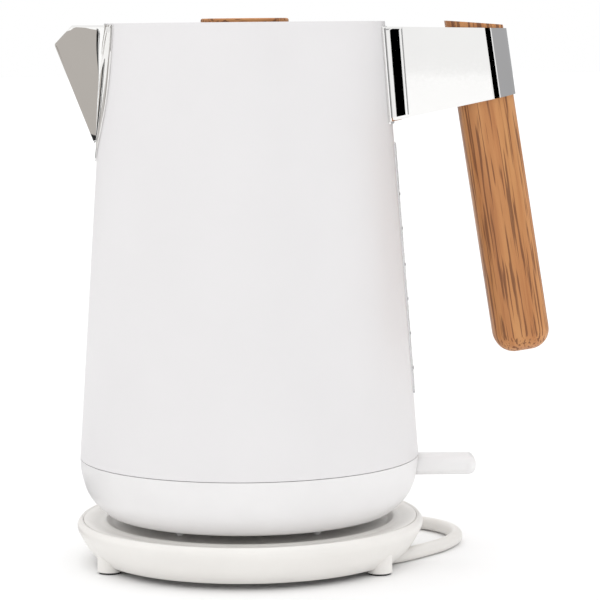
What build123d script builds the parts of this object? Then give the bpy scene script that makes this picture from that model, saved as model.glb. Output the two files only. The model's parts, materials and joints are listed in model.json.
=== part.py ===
from build123d import *
import os
from math import cos, pi, radians, sin, tan

# A cordless jug kettle on its turning power base. Millimetres. The vertical
# centre line of the base is the Z axis, the three foot pads stand on Z = 0, the
# handle points along +X and the spout along -X.

# ---- driving dimensions: power base ----
BASE_UNDERSIDE_Z = 1.25
BASE_WALL = 2.2
SKIRT_FOOT_R = 69.4
SKIRT_FOOT_Z = 2.9
SKIRT_INNER_R = 66.4
CREST_R = 76.6
CREST_Z = 19.9
COVER_R = 75.4
SEAT_Z = 18.2
RIDGE_R = 65.3
RIDGE_Z = 19.3
RECESS_R = 61.5
RECESS_Z = 17.9
HUB_R = 49.0
CHANNEL_TOP_Z = 11.0
FOOT_CIRCLE_R = 68.9
FOOT_R = 5.6
FOOT_ANGLES = (86.5, 206.5, 326.5)
PAD_T = 0.9
TOWER_R = 17.0
TOWER_TOP_Z = 33.0
SLOT_RADII = (7.9, 12.4)
BLADE_T = 0.8
SLOT_W = 2.0

# ---- driving dimensions: jug ----
SEAM_Z = 47.8
SEAM_R = 76.4
RIM_Z = 242.0
RIM_R = 62.4
STEEL = 0.8
BOWL_FLAT_R = 59.5
BOWL_BOTTOM_Z = 22.1
BOWL_WALL = 2.2
NUB_R = 1.7
NUB_CIRCLE_R = 50.0
NUB_ANGLES = (53.0, 127.0, 233.0, 307.0)
SOCKET_R = 20.5
SOCKET_TOP_Z = 35.0
PLATE_Z = 54.0
STEAM_TUBE_TOP_Z = 223.0

# ---- driving dimensions: water window ----
WINDOW_Z = (76.0, 188.0)
WINDOW_W = 16.0
WINDOW_PROUD = 0.8
MARK_Z = (87.0, 102.6, 118.3, 133.5, 149.9, 165.3)

# ---- driving dimensions: spout ----
SPOUT_TOP_Z = 241.3
RIDGE_FOOT = (-67.6, 188.2)
TIP = (-84.9, 233.0)
LIP_TOP = (-76.4, SPOUT_TOP_Z)
BEAK_LEVELS = ((SPOUT_TOP_Z, 14.5), (214.0, 13.5), (200.0, 10.5), (187.0, 3.0))
SPOUT_WALL = 0.9
FLANGE_T = 0.8
FLANGE_OUTLINE = ((26.8, SPOUT_TOP_Z), (27.0, 230.0), (26.2, 217.0), (24.0, 206.0), (17.5, 193.5),
                  (9.0, 184.5), (0.0, 180.5))
POUR_HOLE = ((13.5, 222.0), (3.0, 193.0))

# ---- driving dimensions: handle ----
BRACKET_SIDE = ((61.0, 239.6), (116.1, 238.4), (120.2, 209.5), (61.0, 197.4))
BRACKET_FLANGE = (17.0, 196.8, 239.8)
BRACKET_W = 30.0
BRACKET_WALL = 1.6
BRACKET_CORNER_R = 11.0
GRIP_TOP = (101.8, 241.0)
GRIP_FOOT = (124.0, 94.6)
GRIP_DEPTH = 25.0
GRIP_W = 26.6
GRIP_CORNER_R = 9.5
GRIP_TOP_SLOPE = 4.5

# ---- driving dimensions: lid ----
LID_R = 57.1
LID_Z = 239.8
LID_SEAT_Z = 238.2
LID_BORE_R = 55.2
DISH_R = 43.0
DISH_Z = 228.8
KNOB_R = 19.6
KNOB_TOP_Z = 243.8
KNOB_T = 12.0

# ---- driving dimensions: switch ----
LEVER_PIVOT = (64.0, 43.0)
LEVER_Z = (38.3, 46.8)
LEVER_TIP_X = 102.2
LEVER_W = 16.0
LEVER_PIN_R = 1.5
ROCKER_PIVOT = (40.0, 36.0)
ROCKER_PIN_R = 1.2

# ---- driving dimensions: mains cord ----
CORD_R = 3.1
CORD_FLOOR_Z = 3.15
CORD_ROUTE = (
    (14.1, -37.4, 6.5), (41.6, -33.6, 5.6), (55.6, -26.6, 4.2), (67.0, -15.6, CORD_FLOOR_Z),
    (79.0, -2.4, CORD_FLOOR_Z), (90.5, 12.6, CORD_FLOOR_Z), (97.0, 32.5, CORD_FLOOR_Z),
    (90.0, 54.5, CORD_FLOOR_Z), (70.5, 69.0, CORD_FLOOR_Z), (44.0, 76.5, CORD_FLOOR_Z),
    (14.9, 81.1, CORD_FLOOR_Z),
    (-9.0, 83.0, CORD_FLOOR_Z),
)
COIL_CENTRE = (-30.0, 123.0)
COIL_INNER_R = 23.5
COIL_OUTER_R = 43.0
COIL_H = 12.4
TAIL_Y = 156.0
TAIL_Z = 9.3
PLUG_CENTRE = (46.0, 156.0)
PLUG_R = 19.0
PLUG_H = 21.0
PLUG_NECK_END_X = 6.0
PIN_R = 2.4
PIN_LENGTH = 19.0
PIN_SPACING = 19.0

NODES = {}


# ---- helpers ----
def keep(name, *solids):
    """Store the solids of one physical piece, or one group of identical pieces, under its name."""
    NODES[name] = solids[0] if len(solids) == 1 else Compound(children=list(solids))


def turned(*points):
    """A solid turned about Z from a closed outline of (radius, height) points."""
    return revolve(make_face(Polyline([(r, 0, z) for r, z in points], close=True)), Axis.Z)


def ring(inner_r, outer_r, z0, z1):
    """A plain ring, or a disc where the inner radius is 0."""
    return turned((inner_r, z0), (outer_r, z0), (outer_r, z1), (inner_r, z1))


def rod(radius, z0, z1, x=0.0, y=0.0):
    """An upright cylinder."""
    return Pos(x, y, (z0 + z1) / 2) * Cylinder(radius, z1 - z0)


def rod_x(radius, x0, x1, y, z):
    """A cylinder along X."""
    return Pos((x0 + x1) / 2, y, z) * Rot(0, 90, 0) * Cylinder(radius, x1 - x0)


def rod_y(radius, y0, y1, x, z):
    """A cylinder along Y."""
    return Pos(x, (y0 + y1) / 2, z) * Rot(90, 0, 0) * Cylinder(radius, y1 - y0)


def block(x0, x1, y0, y1, z0, z1):
    """A rectangular block between two corners."""
    return Pos((x0 + x1) / 2, (y0 + y1) / 2, (z0 + z1) / 2) * Box(x1 - x0, y1 - y0, z1 - z0)


def side_plate(y0, y1, *points):
    """A flat piece with an outline of (x, z) points, between two Y values."""
    outline = make_face(Polyline([(x, y0, z) for x, z in points], close=True))
    return extrude(outline, amount=y1 - y0, dir=(0, 1, 0))


def on_circle(radius, angle):
    """The (x, y) of a point at an angle in degrees on a circle about Z."""
    return radius * cos(radians(angle)), radius * sin(radians(angle))


def body_r(z):
    """Outer radius of the jug's steel wall at a height: a straight taper from the seam to the rim."""
    return SEAM_R + (RIM_R - SEAM_R) * (z - SEAM_Z) / (RIM_Z - SEAM_Z)


def wall_band(inset, outset, z0, z1):
    """A full turn of material along the jug's wall, between two offsets from its outside."""
    low, high = body_r(z0), body_r(z1)
    band = turned((low + outset, z0), (high + outset, z1), (high - inset, z1), (low - inset, z0))
    return Rot(0, 0, 90) * band


# ---- power base ----
def gland_hole():
    """The hole through the hub's wall that the cord and its gland pass."""
    return Pos(31.0, -35.1, 6.0) * Rot(0, 0, 8) * Rot(0, 90, 0) * Cylinder(4.8, 24)


def base_lower_shell():
    """Tapered skirt with three foot bosses, a cord channel underneath and a hub around the wiring."""
    outside = Spline([(SKIRT_FOOT_R, 0, SKIRT_FOOT_Z), (73.2, 0, 7.0), (76.6, 0, 12.6),
                      (78.2, 0, 17.0), (CREST_R, 0, CREST_Z)])
    inside = Polyline([(r, 0, z) for r, z in (
        (CREST_R, CREST_Z), (COVER_R + 0.2, CREST_Z - 0.4), (COVER_R + 0.2, SEAT_Z), (73.0, SEAT_Z),
        (73.0, 14.0), (HUB_R - BASE_WALL, 14.0), (HUB_R - BASE_WALL, BASE_UNDERSIDE_Z),
        (HUB_R, BASE_UNDERSIDE_Z), (HUB_R, CHANNEL_TOP_Z), (72.2, CHANNEL_TOP_Z),
        (SKIRT_INNER_R, SKIRT_FOOT_Z), (SKIRT_FOOT_R, SKIRT_FOOT_Z))])
    shell = revolve(make_face([outside] + inside.edges()), Axis.Z)
    for angle in FOOT_ANGLES:
        shell += rod(FOOT_R, PAD_T, CHANNEL_TOP_Z + 1, *on_circle(FOOT_CIRCLE_R, angle))
    gate = Pos(65.7, -16.8, 3.4) * Rot(0, 0, 45) * Box(28, 8.6, 7.6)
    return shell - gate - gland_hole()


def base_pads():
    """Thin rubber pads under the three feet."""
    return [rod(FOOT_R - 0.7, 0.0, PAD_T, *on_circle(FOOT_CIRCLE_R, a)) for a in FOOT_ANGLES]


def base_top_cover():
    """Drop-in cover with a low ridge around the recess that the jug stands in."""
    top = Spline([(COVER_R, 0, CREST_Z - 0.3), (71.0, 0, 19.1), (67.2, 0, 18.8), (RIDGE_R, 0, RIDGE_Z),
                  (63.4, 0, 18.4), (RECESS_R, 0, RECESS_Z)])
    under = Polyline([(r, 0, z) for r, z in (
        (RECESS_R, RECESS_Z), (TOWER_R + 0.3, RECESS_Z), (TOWER_R + 0.3, RECESS_Z - 2.0),
        (61.6, RECESS_Z - 2.0), (64.0, 16.9), (72.6, 17.1), (72.6, SEAT_Z + 0.1),
        (COVER_R, SEAT_Z + 0.1), (COVER_R, CREST_Z - 0.3))])
    return revolve(make_face([top] + under.edges()), Axis.Z)


def base_connector():
    """Socket tower in the middle of the base, with a centre hole and two round contact slots."""
    tower = ring(0, TOWER_R, 9.0, TOWER_TOP_Z) + ring(0, 24.0, 9.0, 11.5)
    for radius in SLOT_RADII:
        tower -= ring(radius - SLOT_W / 2, radius + SLOT_W / 2, 17.0, TOWER_TOP_Z + 1)
    return tower - rod(3.0, 17.0, TOWER_TOP_Z + 1)


def base_contacts():
    """Contacts at the bottom of the tower's hole and slots."""
    rings = [ring(r - SLOT_W / 2 + 0.1, r + SLOT_W / 2 - 0.1, 17.05, 19.0) for r in SLOT_RADII]
    return [rod(2.8, 17.05, 19.0)] + rings


def base_leads():
    """Three insulated wires from the cord clamp to the tower's terminals."""
    leads = []
    for offset in (-3.0, 0.0, 3.0):
        path = Line((11.5, -37.2 + offset, 6.0), (7.0 + offset, -20.0, 6.0))
        leads.append(sweep(Plane(origin=path @ 0, z_dir=path % 0) * Circle(0.9), path=path))
    return leads


def power_base():
    screw_xy = [on_circle(40.0, a) for a in (0, 120, 240)]
    keep("base_lower_shell", base_lower_shell())
    keep("base_foot_pads", *base_pads())
    keep("base_top_cover", base_top_cover())
    cover = ring(0, HUB_R - BASE_WALL - 0.2, BASE_UNDERSIDE_Z, 3.2)
    for x, y in screw_xy:
        cover -= rod(1.6, 0, 5, x, y)
    keep("base_bottom_cover", cover - gland_hole())
    keep("base_screws", *[rod(1.5, 1.6, 8.0, x, y) + rod(2.8, 3.25, 4.6, x, y) for x, y in screw_xy])
    keep("base_connector", base_connector())
    keep("base_contacts", *base_contacts())
    keep("base_leads", *base_leads())
    clamp = Pos(17.6, -36.9, 7.8) * Rot(0, 0, 8) * Box(6.5, 9.0, 8.8)
    throat = Pos(17.6, -36.9, 6.4) * Rot(0, 0, 8) * Rot(0, 90, 0) * Cylinder(CORD_R + 0.3, 12)
    keep("cord_clamp", clamp - throat)
    keep("turn_collar", ring(TOWER_R + 0.35, 19.4, RECESS_Z + 0.3, 22.5))


# ---- mains cord ----
def corner_radii(points):
    """Radius of the arc at each corner: 0.45 of the shorter run over the tangent of half the turn."""
    corners = [Vector(*p) for p in points]
    radii = []
    for before, here, after in zip(corners, corners[1:], corners[2:]):
        run_in, run_out = here - before, after - here
        half_turn = radians(run_in.get_angle(run_out) / 2)
        radii.append(0.45 * min(run_in.length, run_out.length) / tan(half_turn))
    return radii


def tube_along(path, radius, bore=0.0):
    """A round tube swept along a path, with an optional bore."""
    section = Plane(origin=path @ 0, z_dir=path % 0) * Circle(radius)
    tube = sweep(section, path=path)
    if bore:
        tube -= sweep(Plane(origin=path @ 0, z_dir=path % 0) * Circle(bore), path=path)
    return tube


def mains_cord():
    radii = corner_radii(CORD_ROUTE)
    print("cord radii", [round(r, 1) for r in radii])
    path = FilletPolyline(*CORD_ROUTE, radius=radii)
    tube = tube_along(path, CORD_R)
    print("cord length", round(path.length, 1), "volume ratio",
          round(tube.volume / (pi * CORD_R ** 2 * path.length), 4))
    keep("power_cord", tube)

    first, second = [Vector(*p) for p in CORD_ROUTE[:2]]
    start, end = first + (second - first) * 0.45, first + (second - first) * 0.68
    sleeve = tube_along(Line(start, end), 4.3, CORD_R + 0.05)
    keep("cord_gland", sleeve)

    outline = Plane.XZ * Pos((COIL_INNER_R + COIL_OUTER_R) / 2, COIL_H / 2) * RectangleRounded(
        COIL_OUTER_R - COIL_INNER_R, COIL_H, 3.0)
    keep("cord_coil", Pos(*COIL_CENTRE, 0.02) * revolve(outline, Axis.Z))

    tail_x = COIL_CENTRE[0] + (COIL_OUTER_R ** 2 - (TAIL_Y - COIL_CENTRE[1]) ** 2) ** 0.5
    keep("cord_tail", rod_x(CORD_R, tail_x, PLUG_NECK_END_X, TAIL_Y, TAIL_Z))


def mains_plug():
    """Right-angled earthed plug lying on its back, with its two round pins upright."""
    x, y = PLUG_CENTRE
    body = rod(PLUG_R, 0.05, PLUG_H, x, y)
    body = fillet(body.edges().filter_by(GeomType.CIRCLE), 2.5)
    neck = Pos((PLUG_NECK_END_X + x - 14) / 2, y, TAIL_Z) * Rot(0, -90, 0) * Cone(
        8.6, 4.6, x - 14 - PLUG_NECK_END_X)
    body += neck
    for side in (-1, 1):
        body -= block(x - 3.0, x + 3.0, y + side * 19.5 - 1.5, y + side * 19.5 + 1.5, 4.0, PLUG_H + 1)
        body -= rod(1.82, PLUG_H - 6, PLUG_H + 1, x, y + side * PIN_SPACING / 2)
    keep("mains_plug", body)
    keep("plug_pins", *[rod(PIN_R, PLUG_H, PLUG_H + PIN_LENGTH, x, y + s * PIN_SPACING / 2)
                        + rod(1.8, PLUG_H - 5.9, PLUG_H + 1, x, y + s * PIN_SPACING / 2)
                        for s in (-1, 1)])
    keep("plug_earth_clips", *[block(x - 2.6, x + 2.6, y + s * 18.6 - 0.5, y + s * 18.6 + 0.5, 5, PLUG_H)
                               for s in (-1, 1)])


# ---- jug: wall, window, rim ----
def window_block(grow):
    """The upright slot of the water window, grown all round by a margin."""
    half = WINDOW_W / 2 + grow
    return block(40, 100, -half, half, WINDOW_Z[0] - grow, WINDOW_Z[1] + grow)


def jug_wall():
    shell = wall_band(STEEL, 0, SEAM_Z + 0.3, RIM_Z)
    wide, narrow = POUR_HOLE
    hole = make_face(Polyline([(-100, -wide[0], wide[1]), (-100, wide[0], wide[1]),
                               (-100, narrow[0], narrow[1]), (-100, -narrow[0], narrow[1])], close=True))
    shell -= extrude(hole, amount=60, dir=(1, 0, 0))
    shell -= window_block(0.1)
    keep("body_shell", shell)

    pane = wall_band(STEEL + 1.4, WINDOW_PROUD, WINDOW_Z[0] - 4, WINDOW_Z[1] + 4) & window_block(0)
    keep("water_window", pane)
    frame = wall_band(STEEL + 1.4, -STEEL - 0.05, WINDOW_Z[0] - 5, WINDOW_Z[1] + 5)
    keep("window_gasket", (frame & window_block(3.0)) - window_block(0.05))
    marks = []
    for z in MARK_Z:
        band = wall_band(-WINDOW_PROUD, WINDOW_PROUD + 0.15, z - 0.4, z + 0.4)
        marks.append(band & block(60, 90, -7.0, -2.0, z - 1, z + 1))
    keep("level_marks", *marks)
    rim = turned((LID_BORE_R, RIM_Z - 13.5), (LID_BORE_R + 1.2, RIM_Z - 13.5),
                 (LID_BORE_R + 1.2, RIM_Z - 5.0), (LID_BORE_R + 3.6, RIM_Z - 5.0),
                 (LID_BORE_R + 3.6, RIM_Z - 1.3), (RIM_R - STEEL - 0.1, RIM_Z - 1.3),
                 (RIM_R - STEEL - 0.1, RIM_Z - 0.1), (LID_R + 0.5, RIM_Z - 0.1),
                 (LID_R + 0.5, LID_SEAT_Z), (LID_BORE_R, LID_SEAT_Z))
    keep("rim_ring", rim)


def bowl_solid(offset):
    """Solid bowl with a quarter-ellipse side and a flat bottom, moved inwards by an offset."""
    across = SEAM_R - BOWL_FLAT_R - offset
    down = SEAM_Z - BOWL_BOTTOM_Z - offset
    ellipse = [(BOWL_FLAT_R + across * cos(radians(a)), 0, SEAM_Z - down * sin(radians(a)))
               for a in (0, 22.5, 45, 67.5, 90)]
    side = Spline(ellipse, tangents=[(0, 0, -1), (-1, 0, 0)])
    rest = Polyline([ellipse[-1], (0, 0, ellipse[-1][2]), (0, 0, SEAM_Z), ellipse[0]])
    return Rot(0, 0, 90) * revolve(make_face([side] + rest.edges()), Axis.Z)


def lower_housing():
    """Rounded white bowl under the steel wall, with the slot for the switch lever."""
    bowl = bowl_solid(0.0) - bowl_solid(BOWL_WALL)
    bowl += ring(SEAM_R - BOWL_WALL, SEAM_R - STEEL - 0.35, SEAM_Z - 2.0, SEAM_Z + 4.0)
    bowl -= rod(BOWL_FLAT_R - 2.0, 0, 32)
    bowl -= block(66, 90, -LEVER_W / 2 - 0.6, LEVER_W / 2 + 0.6, 36.2, SEAM_Z + 8)
    return bowl


def bottom_cover():
    """Flat cover in the bowl with four small round nubs that stand in the base's recess."""
    cover = ring(SOCKET_R + 3.2, BOWL_FLAT_R - 2.2, BOWL_BOTTOM_Z + 0.2, BOWL_BOTTOM_Z + 2.2)
    for angle in NUB_ANGLES:
        x, y = on_circle(NUB_CIRCLE_R, angle)
        cover += rod(NUB_R, RECESS_Z + 0.1 + NUB_R, BOWL_BOTTOM_Z + 1, x, y)
        cover += Pos(x, y, RECESS_Z + 0.1 + NUB_R) * Sphere(NUB_R)
    for angle in (60, 180, 300):
        cover -= rod(1.6, 0, 32, *on_circle(44.0, angle))
    return cover


def jug_underside():
    keep("lower_housing", lower_housing())
    keep("bottom_cover", bottom_cover())
    keep("bottom_screws", *[
        rod(1.5, BOWL_BOTTOM_Z + 0.6, 32.0, *on_circle(44.0, a)) for a in (60, 180, 300)])
    cup = ring(0, SOCKET_R + 3.0, BOWL_BOTTOM_Z + 0.3, SOCKET_TOP_Z + 2.0)
    keep("jug_connector", cup - rod(SOCKET_R, 0, SOCKET_TOP_Z))
    blades = [ring(r - BLADE_T / 2, r + BLADE_T / 2, 24.0, SOCKET_TOP_Z) for r in SLOT_RADII]
    keep("jug_contact_blades", rod(2.0, 24.0, SOCKET_TOP_Z), *blades)
    keep("control_unit", ring(0, 30.0, SOCKET_TOP_Z + 2.1, PLATE_Z - 8.0))
    keep("control_screws", *[
        rod(1.8, PLATE_Z - 8.0, PLATE_Z - 2.3, *on_circle(24.0, a)) for a in (30, 150, 270)])
    element = Pos(0, 0, PLATE_Z - 5.7) * (Torus(42.0, 3.2) - block(-60, 0, -9, 9, -5, 5))
    keep("heating_element", element)
    keep("heat_spreader", ring(0, 52.0, PLATE_Z - 2.25, PLATE_Z - 0.02))


# ---- jug: heater, steam path, control ----
STEAM_XY = on_circle(57.0, 25.0)


def heater_and_steam():
    x, y = STEAM_XY
    plate = ring(0, 72.8, PLATE_Z, PLATE_Z + 1.2) - rod(5.3, PLATE_Z - 2, PLATE_Z + 3, x, y)
    keep("heater_plate", plate)
    seal = turned((72.9, PLATE_Z - 1.6), (74.0, PLATE_Z - 1.6), (74.0, PLATE_Z + 2.6),
                  (70.5, PLATE_Z + 2.6), (70.5, PLATE_Z + 1.25), (72.9, PLATE_Z + 1.25))
    keep("heater_seal", seal)
    keep("steam_tube", rod(5.0, PLATE_Z - 12, STEAM_TUBE_TOP_Z, x, y) - rod(4.0, 30.0, 230.0, x, y))
    keep("steam_tube_seal", ring(5.05, 8.0, PLATE_Z + 1.25, PLATE_Z + 4.0).moved(Location((x, y, 0))))
    keep("steam_switch", rod(8.0, PLATE_Z - 22.0, PLATE_Z - 15.0, x, y))
    keep("bimetal_disc", rod(6.5, PLATE_Z - 14.7, PLATE_Z - 14.2, x, y))


def switch_parts():
    px, pz = LEVER_PIVOT
    rx, rz = ROCKER_PIVOT
    half = LEVER_W / 2
    paddle = block(px - 2, LEVER_TIP_X, -half, half, *LEVER_Z)
    paddle = fillet(paddle.edges().filter_by(Axis.Y).group_by(Axis.X)[-1], 3.6)
    paddle = fillet(paddle.edges().filter_by(Axis.Z).group_by(Axis.X)[-1], 3.0)
    tail = side_plate(-4.0, 4.0, (px - 1, pz - 3.8), (px - 1, pz + 0.2), (px - 4, pz - 0.5),
                      (54.8, pz - 4.6), (51.8, pz - 4.6), (51.8, pz - 6.6), (55.2, pz - 6.6))
    lever = paddle + tail - rod_y(LEVER_PIN_R + 0.05, -half - 1, half + 1, px, pz)
    for y in (-half, half):
        lever -= block(LEVER_TIP_X - 4.0, LEVER_TIP_X - 3.6, y - 0.35, y + 0.35, pz - 3.1, pz + 0.2)
    keep("switch_lever", lever)
    keep("lever_pin", rod_y(LEVER_PIN_R, -half - 2.5, half + 2.5, px, pz))

    arm = side_plate(-3.5, 3.5, (rx - 1.8, rz), (rx + 1.8, rz), (rx + 1.8, rz + 2.9),
                     (53.5, rz + 2.9), (53.5, rz + 4.9), (rx - 1.8, rz + 4.9))
    arm += rod_y(3.0, -3.5, 3.5, rx, rz)
    keep("trip_rocker", arm - rod_y(ROCKER_PIN_R + 0.05, -5, 5, rx, rz))
    keep("rocker_pin", rod_y(ROCKER_PIN_R, -half - 2.5, half + 2.5, rx, rz))

    cheek = ((36.0, 30.0), (60.0, 30.0), (68.0, 37.0), (68.0, 46.0), (58.0, 46.0), (56.0, 42.0),
             (36.0, 42.0))
    bracket = block(36.0, 60.0, -half - 2.5, half + 2.5, 28.0, 30.0)
    for y0 in (-half - 2.5, half + 0.5):
        bracket += side_plate(y0, y0 + 2.0, *cheek)
    bracket -= rod_y(LEVER_PIN_R + 0.02, -20, 20, px, pz)
    bracket -= rod_y(ROCKER_PIN_R + 0.02, -20, 20, rx, rz)
    keep("switch_bracket", bracket)
    keep("indicator_lamp", rod_x(1.5, 53.0, 58.5, 6.0, 44.3))


# ---- spout ----
def ridge_x(z):
    """X of the spout's front ridge at a height."""
    return RIDGE_FOOT[0] + (TIP[0] - RIDGE_FOOT[0]) * (z - RIDGE_FOOT[1]) / (TIP[1] - RIDGE_FOOT[1])


def beak(inset):
    """Solid V-shaped beak, made smaller all round by an inset, before it is cut by the jug's wall."""
    sections = []
    for z, half in BEAK_LEVELS:
        nose = ridge_x(z) + inset * 1.25
        wide = max(half - inset * 1.25, 0.6)
        sections.append(make_face(Polyline(
            [(nose, 0.6, z), (-62.0, wide, z), (-55.0, wide, z), (-55.0, -wide, z), (-62.0, -wide, z),
             (nose, -0.6, z)], close=True)))
    return loft(sections, ruled=True)


def spout():
    outer = beak(0.0)
    inner = beak(SPOUT_WALL) + extrude(beak(SPOUT_WALL).faces().sort_by(Axis.Z)[-1], amount=4, dir=(0, 0, 1))
    lip = side_plate(-30, 30, (-100, TIP[1]), TIP, LIP_TOP, (LIP_TOP[0], 250), (-100, 250))
    jug = wall_band(30, 0.02, 170, 245)
    shell = outer - inner - lip - jug - block(-60, 0, -40, 40, 150, 260)
    left = [(w, z) for w, z in FLANGE_OUTLINE]
    right = [(-w, z) for w, z in reversed(FLANGE_OUTLINE[:-1])]
    shield = make_face(Polyline([(-100, y, z) for y, z in left + right], close=True))
    flange = wall_band(-0.02, FLANGE_T, 170, SPOUT_TOP_Z) & extrude(shield, amount=60, dir=(1, 0, 0))
    return shell + (flange - inner)


def spout_and_filter():
    keep("spout", spout())
    frame = block(-59.8, -58.2, -18, 18, 186, 222)
    window = block(-60.5, -57.5, -15.5, 15.5, 189, 219)
    keep("filter_frame", frame - window)
    keep("filter_mesh", block(-59.2, -58.9, -15.48, 15.48, 189.02, 218.98))


# ---- handle ----
def grip_bar(grow, top_z, foot_z):
    """Rounded bar along the grip's tilted axis, grown by a margin, between two heights on the axis."""
    run = Vector(GRIP_FOOT[0] - GRIP_TOP[0], 0, GRIP_FOOT[1] - GRIP_TOP[1]).normalized()
    start = Vector(GRIP_TOP[0], 0, GRIP_TOP[1]) + run * ((top_z - GRIP_TOP[1]) / run.Z)
    length = (foot_z - top_z) / run.Z
    plane = Plane(origin=start, x_dir=(0, 1, 0), z_dir=run)
    section = plane * RectangleRounded(GRIP_W + 2 * grow, GRIP_DEPTH + 2 * grow, GRIP_CORNER_R + grow)
    return extrude(section, amount=length)


def handle():
    half = BRACKET_W / 2
    outer = side_plate(-half, half, *BRACKET_SIDE)
    outer = fillet(outer.edges().filter_by(lambda e: e.center().X > 118 and abs(e.center().Y) > 14),
                   BRACKET_CORNER_R)
    (x0, z0), (x1, z1), (x2, z2), (x3, z3) = BRACKET_SIDE
    t = BRACKET_WALL
    inner = side_plate(-half + t, half - t, (x0 - 5, z0 - t), (x1 - t, z1 - t), (x2 - t * 1.1, z2 + t),
                       (x3 - 5, z3 + t - 1.0))
    inner = fillet(inner.edges().filter_by(lambda e: e.center().X > 115 and abs(e.center().Y) > 12),
                   BRACKET_CORNER_R - t)
    jug = wall_band(40, 0.02, 150, 245)
    half_flange, low, high = BRACKET_FLANGE
    flange = wall_band(-0.02, FLANGE_T, low, high) & block(50, 90, -half_flange, half_flange, low, high)
    hollow = wall_band(-FLANGE_T - 0.1, 30, low, high) & inner
    keep("handle_bracket", (outer - inner - jug) + (flange - hollow) - grip_bar(0.05, 262, 180))

    bar = grip_bar(0, 246, GRIP_FOOT[1])
    top_cut = Pos(GRIP_TOP[0], 0, GRIP_TOP[1] + 20) * Rot(0, GRIP_TOP_SLOPE, 0) * Box(80, 60, 40)
    bar = fillet(bar.faces().sort_by(Axis.Z)[0].edges(), 9.0) - top_cut
    screws = []
    core_block = side_plate(-half + t + 0.3, half - t - 0.3, (68, z0 - t - 1.2), (87, z1 - t - 0.6),
                            (90.0, z2 + t - 3.4), (70, z3 + t + 2.2))
    core_block = core_block - wall_band(40, FLANGE_T + 1.7, 150, 245) - grip_bar(0.1, 262, 180)
    for z in (214.0, 228.0):
        screws.append(rod_x(1.6, 74.0, 108.0, 0, z))
        bar -= rod_x(1.65, 70.0, 108.5, 0, z)
        core_block -= rod_x(1.65, 60.0, 120.0, 0, z)
    keep("handle_grip", bar)
    keep("handle_core", core_block)
    keep("grip_screws", *screws)
    plate = wall_band(-FLANGE_T - 0.05, FLANGE_T + 1.6, 201, 236) & block(50, 90, -12, 12, 201, 236)
    keep("handle_mount_plate", plate)


# ---- lid ----
def lid():
    pan = turned((0, DISH_Z - 0.8), (DISH_R + 0.5, DISH_Z - 0.8), (DISH_R + 5.6, LID_Z - 0.8),
                 (LID_R, LID_Z - 0.8), (LID_R, LID_Z), (DISH_R + 5.0, LID_Z), (DISH_R, DISH_Z),
                 (0, DISH_Z))
    keep("lid_pan", pan - rod(2.1, 220, 241))
    r, low = LID_BORE_R - 0.8, DISH_Z - 3.3
    plug = turned((0, low), (r - 4.2, low), (r, low + 4.0), (r, low + 6.5), (r - 1.0, low + 6.5),
                  (r - 1.0, low + 9.1), (r, low + 9.1), (r, LID_Z - 0.9), (r - 2.0, LID_Z - 0.9),
                  (r - 2.0, low + 5.0), (r - 5.2, low + 2.4), (0, low + 2.4))
    keep("lid_plug", plug - rod(2.1, 220, 241))
    keep("lid_seal", ring(r - 0.9, r + 0.55, low + 6.6, low + 9.0))
    knob = rod(KNOB_R, KNOB_TOP_Z - KNOB_T, KNOB_TOP_Z)
    knob = fillet(knob.edges().filter_by(GeomType.CIRCLE), 0.9)
    keep("lid_knob", knob - rod(2.05, 220, KNOB_TOP_Z - 4.2))
    keep("knob_spacer", ring(2.1, 7.0, DISH_Z, KNOB_TOP_Z - KNOB_T))
    keep("lid_screw", rod(2.0, low - 1.5, KNOB_TOP_Z - 4.4) + rod(3.8, low - 1.9, low - 0.05))


power_base()
mains_cord()
mains_plug()
jug_wall()
jug_underside()
heater_and_steam()
switch_parts()
spout_and_filter()
handle()
lid()

os.makedirs("parts", exist_ok=True)
for name, shape in NODES.items():
    shape.label = name
    export_step(shape, f"parts/{name}.step")
print(len(NODES), "nodes")
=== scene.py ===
import json
import math

import bmesh
import bpy
from mathutils import Matrix, Vector


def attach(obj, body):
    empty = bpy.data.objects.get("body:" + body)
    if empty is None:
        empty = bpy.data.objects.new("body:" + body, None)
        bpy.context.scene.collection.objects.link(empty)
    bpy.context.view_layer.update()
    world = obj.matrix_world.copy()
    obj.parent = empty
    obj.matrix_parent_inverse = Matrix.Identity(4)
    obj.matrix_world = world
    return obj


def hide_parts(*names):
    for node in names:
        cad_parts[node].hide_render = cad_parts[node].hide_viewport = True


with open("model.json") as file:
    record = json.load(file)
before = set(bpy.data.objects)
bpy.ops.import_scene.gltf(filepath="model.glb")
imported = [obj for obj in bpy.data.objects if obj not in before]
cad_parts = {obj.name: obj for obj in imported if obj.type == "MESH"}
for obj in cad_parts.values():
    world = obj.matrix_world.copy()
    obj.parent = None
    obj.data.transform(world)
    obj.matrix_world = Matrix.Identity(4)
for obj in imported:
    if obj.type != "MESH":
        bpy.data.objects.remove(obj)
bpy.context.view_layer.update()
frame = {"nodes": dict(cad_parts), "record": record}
nodes = frame["nodes"]


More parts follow.
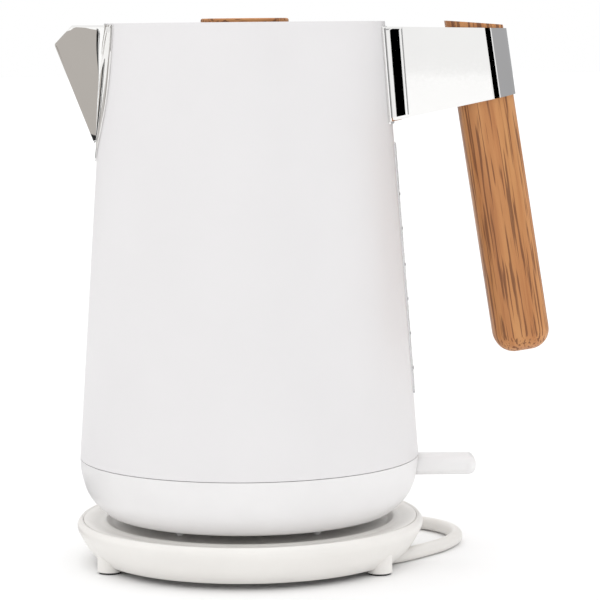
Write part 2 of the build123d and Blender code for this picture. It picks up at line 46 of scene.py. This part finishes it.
# ---- node helpers ----
class Shader:
    """A Principled material with short calls for the nodes that drive its sockets."""

    def __init__(self, name, **sockets):
        self.material = bpy.data.materials.new(name)
        self.material.use_nodes = True
        self.tree = self.material.node_tree
        self.bsdf = self.tree.nodes["Principled BSDF"]
        for socket, value in sockets.items():
            self.bsdf.inputs[socket.replace("_", " ")].default_value = value

    def add(self, kind, inputs=None, **settings):
        node = self.tree.nodes.new(kind)
        for key, value in settings.items():
            setattr(node, key, value)
        for socket, value in (inputs or {}).items():
            self.put(node.inputs[socket], value)
        return node

    def put(self, socket, value):
        if isinstance(value, bpy.types.NodeSocket):
            self.tree.links.new(value, socket)
        else:
            socket.default_value = value

    def where(self, rotation=(0, 0, 0), scale=(1, 1, 1)):
        """Object coordinates in metres, turned and scaled."""
        place = self.add("ShaderNodeTexCoord").outputs["Object"]
        turned = self.add("ShaderNodeMapping", {"Vector": place, "Rotation": rotation})
        return self.add("ShaderNodeMapping", {"Vector": turned.outputs[0], "Scale": scale}).outputs[0]

    def noise(self, scale, detail=3.0, roughness=0.5, vector=None, distortion=0.0):
        found = self.where() if vector is None else vector
        node = self.add("ShaderNodeTexNoise", {"Vector": found, "Scale": scale, "Detail": detail,
                                               "Roughness": roughness, "Distortion": distortion})
        return node.outputs[0]

    def ramp(self, factor, *stops):
        """A colour ramp of (position, colour) stops; a number is a grey."""
        node = self.add("ShaderNodeValToRGB", {"Fac": factor})
        marks = node.color_ramp.elements
        while len(marks) < len(stops):
            marks.new(0.5)
        for mark, (position, colour) in zip(marks, stops):
            grey = isinstance(colour, (int, float))
            mark.position = position
            mark.color = (colour, colour, colour, 1) if grey else (*colour, 1)
        return node.outputs[0]

    def span(self, factor, low, high, start=0.0, end=1.0):
        """A factor's range start to end mapped to low to high."""
        return self.add("ShaderNodeMapRange", {"Value": factor, "From Min": start, "From Max": end,
                                               "To Min": low, "To Max": high}).outputs[0]

    def math(self, operation, a, b):
        return self.add("ShaderNodeMath", {0: a, 1: b}, operation=operation).outputs[0]

    def mix(self, factor, a, b, blend_type="MIX"):
        node = self.add("ShaderNodeMix", data_type="RGBA", blend_type=blend_type)
        self.put(node.inputs["Factor"], factor)
        self.put(node.inputs[6], a)
        self.put(node.inputs[7], b)
        return node.outputs[2]

    def feed(self, socket, value):
        self.put(self.bsdf.inputs[socket], value)

    def bump(self, height, depth):
        """Relief of a depth in metres."""
        node = self.add("ShaderNodeBump", {"Height": height, "Distance": depth, "Strength": 1.0})
        self.feed("Normal", node.outputs[0])


def plastic(name, colour, roughness, grain=900.0):
    """Moulded plastic: faint mottling, uneven gloss and a fine moulded texture."""
    s = Shader(name)
    mottle = 0.012
    low = [max(c - mottle, 0) for c in colour]
    high = [min(c + mottle, 1) for c in colour]
    s.feed("Base Color", s.ramp(s.noise(45.0, 4.0), (0.35, low), (0.65, high)))
    s.feed("Roughness", s.span(s.noise(220.0, 3.0), roughness - 0.05, roughness + 0.05, 0.3, 0.7))
    s.bump(s.noise(grain, 2.0), 0.00002)
    return s.material


def metal(name, colour, roughness, scratch=(1, 1, 1), depth=0.000003, spread=0.04):
    """Bare or plated metal with fine scratches drawn out along the axis with the smallest scale."""
    s = Shader(name, Metallic=1.0)
    lines = s.noise(600.0, 3.0, vector=s.where(scale=scratch))
    cloud = s.noise(30.0, 4.0)
    s.feed("Base Color", s.ramp(cloud, (0.3, [c * 0.96 for c in colour]), (0.7, colour)))
    s.feed("Roughness", s.span(lines, max(roughness - spread, 0.01), roughness + spread, 0.3, 0.7))
    s.bump(lines, depth)
    return s.material


def painted_steel():
    """Satin white powder coat outside, brushed stainless steel on the inside of the wall."""
    s = Shader("white_powder_coat")
    place = s.add("ShaderNodeTexCoord").outputs["Object"]
    level = s.add("ShaderNodeVectorMath", {0: place, 1: (1, 1, 0)}, operation="MULTIPLY").outputs[0]
    outward = s.add("ShaderNodeVectorMath", {0: level}, operation="NORMALIZE").outputs[0]
    normal = s.add("ShaderNodeNewGeometry").outputs["Normal"]
    facing = s.add("ShaderNodeVectorMath", {0: outward, 1: normal},
                   operation="DOT_PRODUCT").outputs["Value"]
    inside = s.math("LESS_THAN", facing, -0.5)
    cloud = s.noise(24.0, 5.0)
    paint = s.ramp(cloud, (0.3, (0.760, 0.748, 0.754)), (0.7, (0.776, 0.764, 0.770)))
    brushed = s.noise(700.0, 3.0, vector=s.where(scale=(0.05, 0.05, 1.0)))
    steel = s.ramp(brushed, (0.3, 0.50), (0.7, 0.60))
    s.feed("Base Color", s.mix(inside, paint, steel))
    s.feed("Metallic", inside)
    peel = s.noise(650.0, 2.0)
    s.feed("Roughness", s.span(peel, 0.40, 0.50, 0.3, 0.7))
    s.bump(peel, 0.000025)
    return s.material


def oak(name, tilt):
    """Oiled oak: growth bands, long open pores along the grain and a soft sheen."""
    s = Shader(name)

    def along(squash):
        """Coordinates that run with the grain, drawn out by a small factor."""
        return s.where(rotation=(0, tilt, 0), scale=(1, 1, squash))

    wide = s.noise(42.0, 4.0, 0.55, along(0.12), 0.6)
    bands = s.ramp(s.noise(170.0, 4.0, 0.6, along(0.055), 0.4),
                   (0.25, (0.380, 0.140, 0.042)), (0.45, (0.540, 0.235, 0.082)),
                   (0.62, (0.625, 0.300, 0.112)), (0.85, (0.690, 0.365, 0.150)))
    tone = s.ramp(wide, (0.3, (0.80, 0.72, 0.62)), (0.7, (1.08, 1.04, 1.0)))
    wood = s.mix(0.85, bands, tone, "MULTIPLY")
    pore_noise = s.noise(820.0, 2.0, 0.55, along(0.030))
    pores = s.ramp(pore_noise, (0.41, 0.80), (0.47, 0.0))
    s.feed("Base Color", s.mix(pores, wood, (0.150, 0.050, 0.016, 1)))
    s.feed("Roughness", s.span(pore_noise, 0.62, 0.42, 0.35, 0.6))
    s.bump(pore_noise, 0.00012)
    return s.material


def frosted(name, colour, roughness, transmission):
    """Clear or milky moulded plastic."""
    s = Shader(name, IOR=1.49, Transmission_Weight=transmission)
    s.feed("Base Color", s.ramp(s.noise(60.0, 3.0), (0.3, [c * 0.98 for c in colour]), (0.7, colour)))
    s.feed("Roughness", s.span(s.noise(500.0, 2.0), roughness * 0.8, roughness * 1.2, 0.3, 0.7))
    s.bump(s.noise(1400.0, 2.0), 0.00001)
    return s.material


GRIP_TILT = math.radians(8.62)
KNOB_TILT = math.radians(90)
FINISHES = {
    "white_paint": painted_steel(),
    "base_plastic": plastic("warm_white_plastic", (0.84, 0.82, 0.79), 0.36),
    "white_plastic": plastic("white_moulded_plastic", (0.82, 0.81, 0.81), 0.38),
    "clear_plastic": frosted("clear_acrylic", (0.80, 0.80, 0.81), 0.12, 0.75),
    "lever_plastic": frosted("frosted_lever", (0.93, 0.92, 0.92), 0.35, 0.10),
    "grey_seal": plastic("grey_silicone", (0.17, 0.17, 0.18), 0.55),
    "dark_rubber": plastic("dark_rubber", (0.03, 0.03, 0.03), 0.75),
    "dark_plastic": plastic("dark_moulded_plastic", (0.03, 0.03, 0.032), 0.5),
    "cord_pvc": plastic("white_cord_sheath", (0.80, 0.78, 0.75), 0.45, grain=1500.0),
    "plated_pin": metal("nickel_pins", (0.62, 0.60, 0.57), 0.16, (1, 1, 0.1)),
    "contact_brass": metal("contact_brass", (0.72, 0.50, 0.22), 0.3),
    "zinc_steel": metal("zinc_steel", (0.55, 0.55, 0.56), 0.35),
    "stainless": metal("brushed_stainless", (0.56, 0.55, 0.55), 0.25, (0.05, 1, 1)),
    "aluminium_plate": metal("pressed_aluminium", (0.72, 0.72, 0.73), 0.3),
    "chrome_plate": metal("mirror_polish", (0.88, 0.875, 0.865), 0.035, depth=0.000001, spread=0.015),
    "oak": oak("oiled_oak_grip", GRIP_TILT),
}


def dress(obj, material):
    """Gives obj one material."""
    obj.data.materials.clear()
    obj.data.materials.append(material)


def smooth(obj, angle=32.0):
    """Smooth shading, with edges sharper than an angle in degrees kept."""
    obj.data.polygons.foreach_set("use_smooth", [True] * len(obj.data.polygons))
    obj.data.set_sharp_from_angle(angle=math.radians(angle))


for part in frame["record"]["subparts"]:
    dress(nodes[part["node"]], FINISHES[part["material_slot"]])
    smooth(nodes[part["node"]])
dress(nodes["lid_knob"], oak("oiled_oak_knob", KNOB_TILT))

# ---- polished spout and bracket; lengths from here to the studio are in millimetres ----
MM = 0.001
SEAM_Z, SEAM_R = 47.8, 76.4
RIM_Z, RIM_R = 242.0, 62.4
FLANGE_T = 0.8


def body_r(z):
    """Outer radius of the steel wall at a height."""
    return SEAM_R + (RIM_R - SEAM_R) * (z - SEAM_Z) / (RIM_Z - SEAM_Z)


def on_wall(radius, y):
    """The X of a point on a circle round the jug's axis, at a distance y beside the axis."""
    return math.sqrt(radius ** 2 - y ** 2)


def between(table, z):
    """A value read from a table of (height, value) rows that rise, along straight lines."""
    for (z0, v0), (z1, v1) in zip(table, table[1:]):
        if z <= z1:
            return v0 + (v1 - v0) * max(z - z0, 0) / (z1 - z0)
    return table[-1][1]


MERGE = 0.02


def add_piece(name, data):
    """Puts a mesh, curve, light or camera in the scene as an object."""
    made = bpy.data.objects.new(name, data)
    bpy.context.scene.collection.objects.link(made)
    return made


def grid_mesh(name, *sheets):
    """One mesh of sheets through rows of points; a sheet's rows all have the same number of points."""
    mesh = bpy.data.meshes.new(name)
    points, faces = [], []
    for rows in sheets:
        wide = len(rows[0])
        for r in range(len(rows) - 1):
            for c in range(wide - 1):
                i = len(points) + r * wide + c
                faces.append((i, i + 1, i + 1 + wide, i + wide))
        points += [tuple(v * MM for v in p) for row in rows for p in row]
    mesh.from_pydata(points, [], faces)
    work = bmesh.new()
    work.from_mesh(mesh)
    bmesh.ops.remove_doubles(work, verts=work.verts, dist=MERGE * MM)
    bmesh.ops.recalc_face_normals(work, faces=work.faces)
    work.to_mesh(mesh)
    work.free()
    return add_piece(name, mesh)


def thicken(obj, thickness):
    """Gives a sheet a wall thickness, added on its inner side."""
    wall = obj.modifiers.new("wall", "SOLIDIFY")
    wall.thickness = thickness * MM
    wall.offset = -1.0


def round_edges(obj, width, segments):
    """Rounds the edges of a piece by a width."""
    rounded = obj.modifiers.new("edges", "BEVEL")
    rounded.width = width * MM
    rounded.segments = segments
    return rounded


# (x, z) points of the spout in its middle plane, then tables of (height, value)
RIDGE_FOOT, TIP, LIP_TOP = (-67.6, 188.2), (-84.9, 233.0), (-76.4, 241.3)
FLANGE_HALF = ((180.5, 0.4), (184.5, 9.5), (193.5, 18.6), (206.0, 24.4), (217.0, 26.4), (230.0, 27.2),
               (241.3, 26.8))
BEAK_HALF = ((180.5, 0.1), (188.2, 0.7), (195.0, 3.2), (203.0, 5.6), (212.0, 8.2), (227.0, 11.8),
             (241.3, 14.3))
FILLET = ((180.5, 0.04), (221.0, 0.05), (241.3, 0.78))
SPOUT_FOOT_Z, SPOUT_STEPS, SOFTENINGS = 180.7, 60, 14
SPOUT_Z = [SPOUT_FOOT_Z + (LIP_TOP[1] - SPOUT_FOOT_Z) * i / SPOUT_STEPS for i in range(SPOUT_STEPS + 1)]
FLANK_SHARES = (0, 0.02, 0.3, 0.6, 0.9, 0.98)
BEND_STEPS, FLANGE_STEPS = 10, 6


def eased(table):
    """The table's values at the spout's levels, with the corners between its rows softened."""
    values = [between(table, z) for z in SPOUT_Z]
    for _ in range(SOFTENINGS):
        values = [values[0]] + [(values[i - 1] + 2 * values[i] + values[i + 1]) / 4
                                for i in range(1, len(values) - 1)] + [values[-1]]
    return values


def spout_half(side):
    """Level sections of one side, from the ridge or the lip's edge out to the flange's edge."""
    rows = []
    for z, edge, meet, share in zip(SPOUT_Z, eased(FLANGE_HALF), eased(BEAK_HALF), eased(FILLET)):
        wall = body_r(z) + FLANGE_T
        meet = min(meet, edge * 0.75)
        corner = Vector((-on_wall(wall, meet), meet))
        rise = (z - RIDGE_FOOT[1]) / (TIP[1] - RIDGE_FOOT[1])
        nose = Vector((min(RIDGE_FOOT[0] + (TIP[0] - RIDGE_FOOT[0]) * rise, -wall), 0.0))
        start = nose
        if z > TIP[1]:
            cut_x = TIP[0] + (LIP_TOP[0] - TIP[0]) * (z - TIP[1]) / (LIP_TOP[1] - TIP[1])
            start = nose.lerp(corner, (cut_x - nose.x) / (corner.x - nose.x))
        bend = corner.lerp(nose, share)
        if (bend - corner).length > (start - corner).length:
            bend = start
        out = min(meet + 1.0 + 9.0 * share, edge * 0.95)
        after = Vector((-on_wall(wall, out), out))
        row = [start.lerp(bend, t) for t in FLANK_SHARES]
        for i in range(BEND_STEPS + 1):
            t = i / BEND_STEPS
            row.append(bend.lerp(corner, t).lerp(corner.lerp(after, t), t))
        for i in range(1, FLANGE_STEPS + 1):
            y = out + (edge - out) * i / FLANGE_STEPS
            row.append(Vector((-on_wall(wall, y), y)))
        rows.append([(p.x, side * p.y, z) for p in row])
    return rows


spout = grid_mesh("pouring_spout", spout_half(-1), spout_half(1))
thicken(spout, FLANGE_T)
round_edges(spout, 0.3, 2)
dress(spout, FINISHES["chrome_plate"])
smooth(spout, 28.0)
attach(spout, "jug")
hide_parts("spout")

# the bracket's lower and upper edges as (height at its root, slope), and where its root is
BRACKET_FOOT, BRACKET_HEAD = (197.4, 0.2044), (239.6, -0.0218)
BRACKET_ROOT_X, BRACKET_MIDDLE_Z, BRACKET_HALF = 61.0, 218.0, 15.0
WEB_L, WEB_TURN_L, WEB_LEAN, WEB_TURN_STEPS = 8.4, 5.6, 20.0, 10
# (distance from the web's end, lean in degrees): a flat band, a step and the outermost strip
WEB_STRIPS = ((1.5, 20.7), (1.15, 62.0), (0.0, 13.0))
WEB_ROWS = 24


def web_profile():
    """(distance from the web's end, distance out from the side wall), from the side wall outwards."""
    profile = [(WEB_L, 0.0)]
    for i in range(WEB_TURN_STEPS):
        lean = math.tan(math.radians(WEB_LEAN) * (i + 0.5) / WEB_TURN_STEPS)
        profile.append((profile[-1][0] - WEB_TURN_L / WEB_TURN_STEPS,
                        profile[-1][1] + lean * WEB_TURN_L / WEB_TURN_STEPS))
    for end, lean in WEB_STRIPS:
        run = profile[-1][0] - end
        profile.append((end, profile[-1][1] + run * math.tan(math.radians(lean))))
    return profile


def bracket_web(side):
    """A concave web that runs one side wall of the bracket out onto the steel wall."""
    columns = web_profile()

    def place(column, z):
        out = BRACKET_HALF + 0.05 + column[1]
        return Vector((on_wall(body_r(z) + 0.3, out) + column[0], out))

    rows = []
    for i in range(WEB_ROWS + 1):
        row = []
        for column in columns:
            along = place(column, BRACKET_MIDDLE_Z).x - BRACKET_ROOT_X
            low = BRACKET_FOOT[0] + BRACKET_FOOT[1] * along
            high = BRACKET_HEAD[0] + BRACKET_HEAD[1] * along
            z = low + (high - low) * i / WEB_ROWS
            point = place(column, z)
            row.append((point.x, side * point.y, z))
        rows.append(row)
    return rows


flare = grid_mesh("bracket_flares", bracket_web(-1), bracket_web(1))
thicken(flare, 0.5)
dress(flare, FINISHES["chrome_plate"])
smooth(flare, 6.0)
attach(flare, "jug")
bracket_edge = round_edges(nodes["handle_bracket"], 0.9, 3)
bracket_edge.limit_method = "ANGLE"
bracket_edge.angle_limit = math.radians(50)

# ---- mains cord; its diameter is in metres, its route in millimetres ----
CORD_D = 0.0062
FLOOR_Z = 3.15
ROUTE = (
    (14.1, -37.4, 6.5), (41.6, -33.6, 5.6), (55.6, -26.6, 4.2), (67.0, -15.6, FLOOR_Z),
    (79.0, -2.4, FLOOR_Z), (90.5, 12.6, FLOOR_Z), (97.0, 32.5, FLOOR_Z),
    (90.0, 54.5, FLOOR_Z), (70.5, 69.0, FLOOR_Z), (44.0, 76.5, FLOOR_Z),
    (14.9, 81.1, FLOOR_Z), (-9.0, 83.0, FLOOR_Z),
)
COIL_CENTRE = (-30.0, 123.0)
COIL_START_R = 39.5
COIL_PITCH = 6.3
COIL_TURNS, LAST_TURN = 2.0, 0.5
CLIMB_START, CLIMB_TURNS = 1.8, 0.38
POINTS_PER_TURN = 16
TOP_R = 33.0
TOP_Z = 9.3
TAIL_END = (8.0, 156.0, TOP_Z)


def ease(t):
    """Runs smoothly from 0 to 1."""
    t = min(max(t, 0.0), 1.0)
    return t * t * (3 - 2 * t)


def coil_points():
    """A flat spiral of two turns, then half a turn that climbs onto them and leaves."""
    found = []
    reach = 1 / math.cos(math.pi / POINTS_PER_TURN)
    inner = COIL_START_R - COIL_PITCH * COIL_TURNS
    for i in range(int((COIL_TURNS + LAST_TURN) * POINTS_PER_TURN) + 1):
        turn = i / POINTS_PER_TURN
        if turn <= COIL_TURNS:
            r = COIL_START_R - COIL_PITCH * turn
        else:
            r = inner + (TOP_R - inner) * ease((turn - COIL_TURNS) / LAST_TURN)
        z = FLOOR_Z + (TOP_Z - FLOOR_Z) * ease((turn - CLIMB_START) / CLIMB_TURNS)
        angle = math.radians(270 - 360 * turn)
        found.append((COIL_CENTRE[0] + r * reach * math.cos(angle),
                      COIL_CENTRE[1] + r * reach * math.sin(angle), z))
    return found


def nurbs(name, points, radius=0.0):
    """A smooth curve pulled along by its points in millimetres; a radius in metres makes it round."""
    curve = bpy.data.curves.new(name, "CURVE")
    curve.dimensions = "3D"
    curve.resolution_u = 8
    curve.bevel_depth = radius
    curve.bevel_resolution = 6
    curve.use_fill_caps = True
    spline = curve.splines.new("NURBS")
    spline.points.add(len(points) - 1)
    for point, (x, y, z) in zip(spline.points, points):
        point.co = (x * MM, y * MM, z * MM, 1)
    spline.order_u = 3
    spline.use_endpoint_u = True
    return add_piece(name, curve)


cord_line = [*ROUTE, *coil_points(), TAIL_END]
cord = nurbs("mains_cord", cord_line, CORD_D / 2)
cord.data.materials.append(FINISHES["cord_pvc"])
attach(cord, "power_base")
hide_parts("power_cord", "cord_coil", "cord_tail")


def spline_points(points):
    """Points along the cord's own curve, read from it with its bevel taken off."""
    bare = nurbs("cord_centre", points)
    bpy.context.view_layer.update()
    mesh = bare.evaluated_get(bpy.context.evaluated_depsgraph_get()).to_mesh()
    found = [v.co.copy() for v in mesh.vertices]
    bpy.data.objects.remove(bare)
    return found


SLEEVE_SIDES = 32


def tapered_sleeve(name, centre, profile):
    """A turned sleeve along a centre line; the profile is (distance along, radius) in millimetres."""
    lengths = [0.0]
    for p, q in zip(centre, centre[1:]):
        lengths.append(lengths[-1] + (q - p).length / MM)
    rows = []
    for along, radius in profile:
        i = max(k for k in range(len(lengths) - 1) if lengths[k] <= along)
        part = (along - lengths[i]) / (lengths[i + 1] - lengths[i])
        here = centre[i].lerp(centre[i + 1], part)
        ahead = (centre[i + 1] - centre[i]).normalized()
        side = ahead.cross(Vector((0, 0, 1))).normalized()
        up = side.cross(ahead)
        turns = [2 * math.pi * k / SLEEVE_SIDES for k in range(SLEEVE_SIDES + 1)]
        rows.append([(here + (side * math.cos(a) + up * math.sin(a)) * radius * MM) / MM for a in turns])
    return grid_mesh(name, rows)


RELIEF_START, RELIEF_L, RELIEF_RIBS = 13.0, 25.0, 6
RELIEF_BORE, RELIEF_END_R = 3.0, 3.35
COLLAR_R, COLLAR_L, NECK_R = 4.7, 2.6, 4.0
FIRST_RIB, RIB_R, RIB_TAPER, RIB_L = 3.4, 4.3, 0.85, 2.2


def relief_profile():
    """A plain collar, then ribs that get smaller, then the thin end."""
    start, end = RELIEF_START, RELIEF_START + RELIEF_L
    found = [(start, RELIEF_BORE), (start, COLLAR_R), (start + COLLAR_L, COLLAR_R),
             (start + COLLAR_L, NECK_R)]
    for rib in range(RELIEF_RIBS):
        at = start + FIRST_RIB + rib * (RELIEF_L - 4.0) / RELIEF_RIBS
        full = RIB_R - RIB_TAPER * (rib + 0.5) / RELIEF_RIBS
        found += [(at, full - 0.35), (at + 0.2, full), (at + RIB_L, full - 0.1),
                  (at + RIB_L + 0.2, full - 0.45)]
    return [*found, (end, RELIEF_END_R), (end, RELIEF_BORE)]


relief = tapered_sleeve("strain_relief", spline_points(cord_line), relief_profile())
dress(relief, FINISHES["cord_pvc"])
smooth(relief, 50.0)
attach(relief, "power_base")
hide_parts("cord_gland")

# ---- studio; lengths from here on are in metres ----
scene = bpy.context.scene
world = bpy.data.worlds.new("studio")
scene.world = world
world.use_nodes = True
world.node_tree.nodes["Background"].inputs["Color"].default_value = (1, 1, 1, 1)
world.node_tree.nodes["Background"].inputs["Strength"].default_value = 1.0

FLOOR_HALF = 12.0


def flat_mesh(name, x0, x1, y0, y1, z):
    """One level rectangle."""
    mesh = bpy.data.meshes.new(name)
    mesh.from_pydata([(x0, y0, z), (x1, y0, z), (x1, y1, z), (x0, y1, z)], [], [(0, 1, 2, 3)])
    return mesh


floor = add_piece("floor", flat_mesh("floor", -FLOOR_HALF, FLOOR_HALF, -FLOOR_HALF, FLOOR_HALF, 0))
floor_look = Shader("pale_floor", Roughness=0.9)
floor_look.bsdf.inputs["Base Color"].default_value = (0.93, 0.93, 0.93, 1)
dress(floor, floor_look.material)

# a very wide soft lamp straight overhead, which reflections don't see
sky = bpy.data.lights.new("overhead", "SUN")
sky.energy = 0.75
sky.angle = math.radians(80)
overhead = add_piece("overhead", sky)
overhead.visible_glossy = False
overhead.visible_camera = False


def glow_card(name, mesh, radiance):
    """A glowing card that only reflections see."""
    card = add_piece(name, mesh)
    material = bpy.data.materials.new(name)
    material.use_nodes = True
    tree = material.node_tree
    tree.nodes.remove(tree.nodes["Principled BSDF"])
    glow = tree.nodes.new("ShaderNodeEmission")
    glow.inputs["Color"].default_value = (*radiance, 1)
    tree.links.new(glow.outputs[0], tree.nodes["Material Output"].inputs[0])
    dress(card, material)
    for flag in ("visible_camera", "visible_diffuse", "visible_shadow", "visible_transmission"):
        setattr(card, flag, False)


CARD_TOP, CARD_DISTANCE = 3.0, 3.0
FLOOR_CARD_Z = 0.0005


def reflector(name, start, end, radiance, low=-0.6):
    """An upright curved card from one azimuth to another, in degrees from -Y towards +X."""
    steps = max(2, int(abs(end - start) / 3))
    ring = [math.radians(start + (end - start) * i / steps) for i in range(steps + 1)]
    points = [(CARD_DISTANCE * math.sin(a), -CARD_DISTANCE * math.cos(a), z)
              for z in (low, CARD_TOP) for a in ring]
    faces = [(i, i + 1, i + 2 + steps, i + 1 + steps) for i in range(steps)]
    mesh = bpy.data.meshes.new(name)
    mesh.from_pydata(points, [], faces)
    glow_card(name, mesh, radiance)


def floor_reflector(name, x0, x1, y0, y1, radiance):
    """A flat card just above the floor."""
    glow_card(name, flat_mesh(name, x0, x1, y0, y1, FLOOR_CARD_Z), radiance)


reflector("dark_card_right", 14, 38, (0.0, 0.0, 0.0))
reflector("grey_card_right", 43, 172, (0.42, 0.42, 0.43))
floor_reflector("beige_card_left", -2.5, -0.1, -1.5, 0.02, (0.52, 0.49, 0.46))
floor_reflector("dark_card_left_near", -3.5, -0.1, 0.02, 0.14, (0.03, 0.03, 0.03))
floor_reflector("dark_card_left_far", -3.5, -0.1, 0.18, 0.24, (0.03, 0.03, 0.03))
reflector("flange_card_near", -118, -137, (0.42, 0.40, 0.38), 0.0)
reflector("flange_card_far", -140, -165, (0.50, 0.48, 0.46), 0.0)

# ---- camera ----
LENS, SENSOR = 152.6, 36.0
CAMERA_PLACE = (0.0235, -1.1388, 0.2387)
LOOK_DOWN, ROLL = 6.075, -0.53
camera_data = bpy.data.cameras.new("camera")
camera_data.lens = LENS
camera_data.sensor_width = SENSOR
camera = add_piece("camera", camera_data)
camera.location = CAMERA_PLACE
pitch = Matrix.Rotation(math.radians(90 - LOOK_DOWN), 4, "X")
roll = Matrix.Rotation(math.radians(ROLL), 4, "Z")
camera.rotation_euler = (pitch @ roll).to_euler()
camera_data.clip_end = 100.0
scene.camera = camera
scene.view_settings.view_transform = "Standard"
